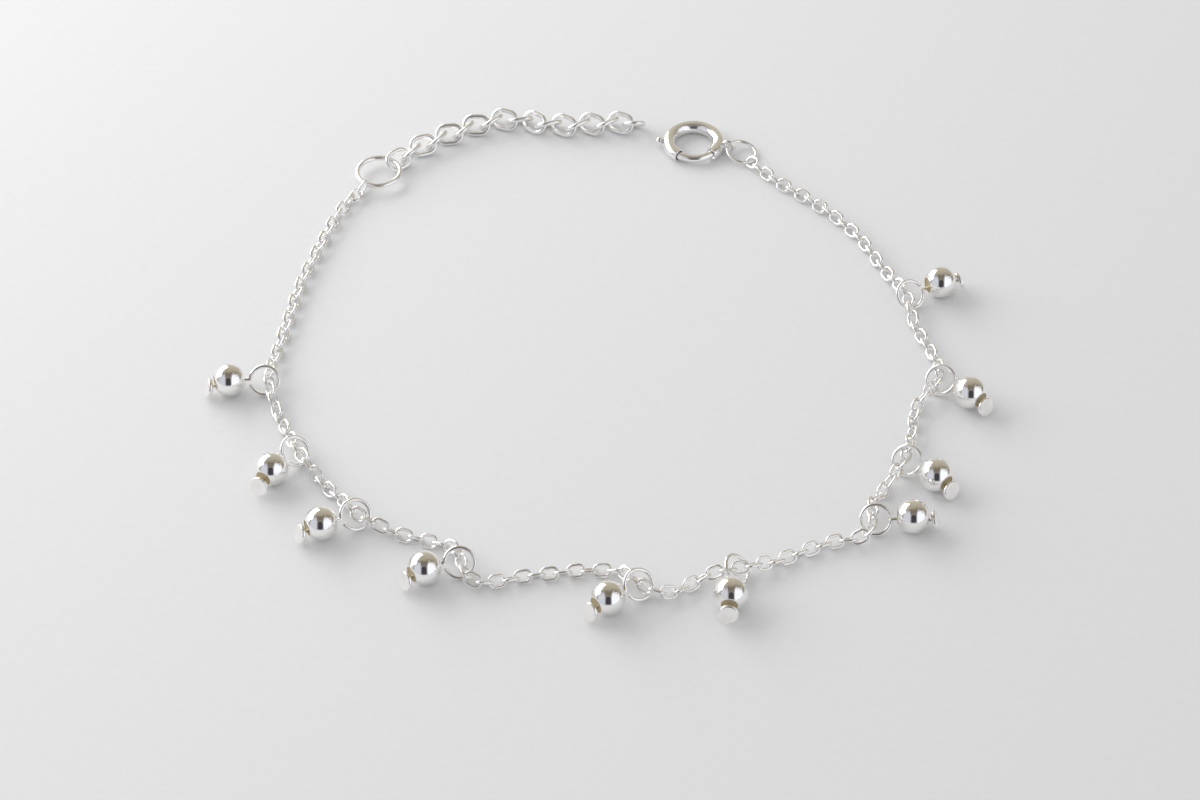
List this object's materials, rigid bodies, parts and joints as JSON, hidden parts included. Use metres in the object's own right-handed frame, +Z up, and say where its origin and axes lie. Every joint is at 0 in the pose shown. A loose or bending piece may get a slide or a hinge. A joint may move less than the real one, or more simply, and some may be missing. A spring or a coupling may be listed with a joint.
{
  "type": "beaded bracelet",
  "caption": "Fine silver cable chain bracelet with polished ball drops on headpins, a spring ring clasp with a thumb trigger, a large end ring and an oval link extender.",
  "frame": {"origin": "on the surface that the bracelet lies on, below the middle of its bounding box", "axes": "+X to the right along the longer side of the open loop, +Y away from the viewer towards the clasp and the extender, +Z up"},
  "size_m": [0.0718, 0.067, 0.003],
  "materials": {
    "silver_ball": "mirror polished silver",
    "silver_pin": "polished silver wire",
    "silver_chain": "polished silver links",
    "silver_clasp": "polished silver",
    "silver_link": "polished silver wire"
  },
  "bodies": {
    "bracelet": {"clasp_jump_ring": "silver_clasp", "clasp_ring": "silver_clasp", "drop_ball_01": "silver_ball", "drop_ball_02": "silver_ball", "drop_ball_03": "silver_ball", "drop_ball_04": "silver_ball", "drop_ball_05": "silver_ball", "drop_ball_06": "silver_ball", "drop_ball_07": "silver_ball", "drop_ball_08": "silver_ball", "drop_ball_09": "silver_ball", "drop_ball_10": "silver_ball", "drop_pin_01": "silver_pin", "drop_pin_02": "silver_pin", "drop_pin_03": "silver_pin", "drop_pin_04": "silver_pin", "drop_pin_05": "silver_pin", "drop_pin_06": "silver_pin", "drop_pin_07": "silver_pin", "drop_pin_08": "silver_pin", "drop_pin_09": "silver_pin", "drop_pin_10": "silver_pin", "end_ring": "silver_link", "extender_last_ring": "silver_link", "extender_link_01": "silver_link", "extender_link_02": "silver_link", "extender_link_03": "silver_link", "extender_link_04": "silver_link", "extender_link_05": "silver_link", "extender_link_06": "silver_link", "extender_link_07": "silver_link", "extender_link_08": "silver_link", "extender_link_09": "silver_link", "extender_link_10": "silver_link", "extender_link_11": "silver_link", "extender_link_12": "silver_link", "extender_link_13": "silver_link", "extender_link_14": "silver_link", "extender_link_15": "silver_link", "extender_link_16": "silver_link", "extender_link_17": "silver_link", "main_chain": "silver_chain"},
    "trigger": {"clasp_trigger": "silver_clasp"}
  },
  "joints": [
    {"name": "thumb_trigger", "type": "hinge", "parent": "bracelet", "child": "trigger", "pos_m": [0.00956, 0.02922, 0.00062], "axis": [0, 0, 1], "range_deg": [-60, 0], "stiffness_Nm_per_rad": 0.0005}
  ]
}
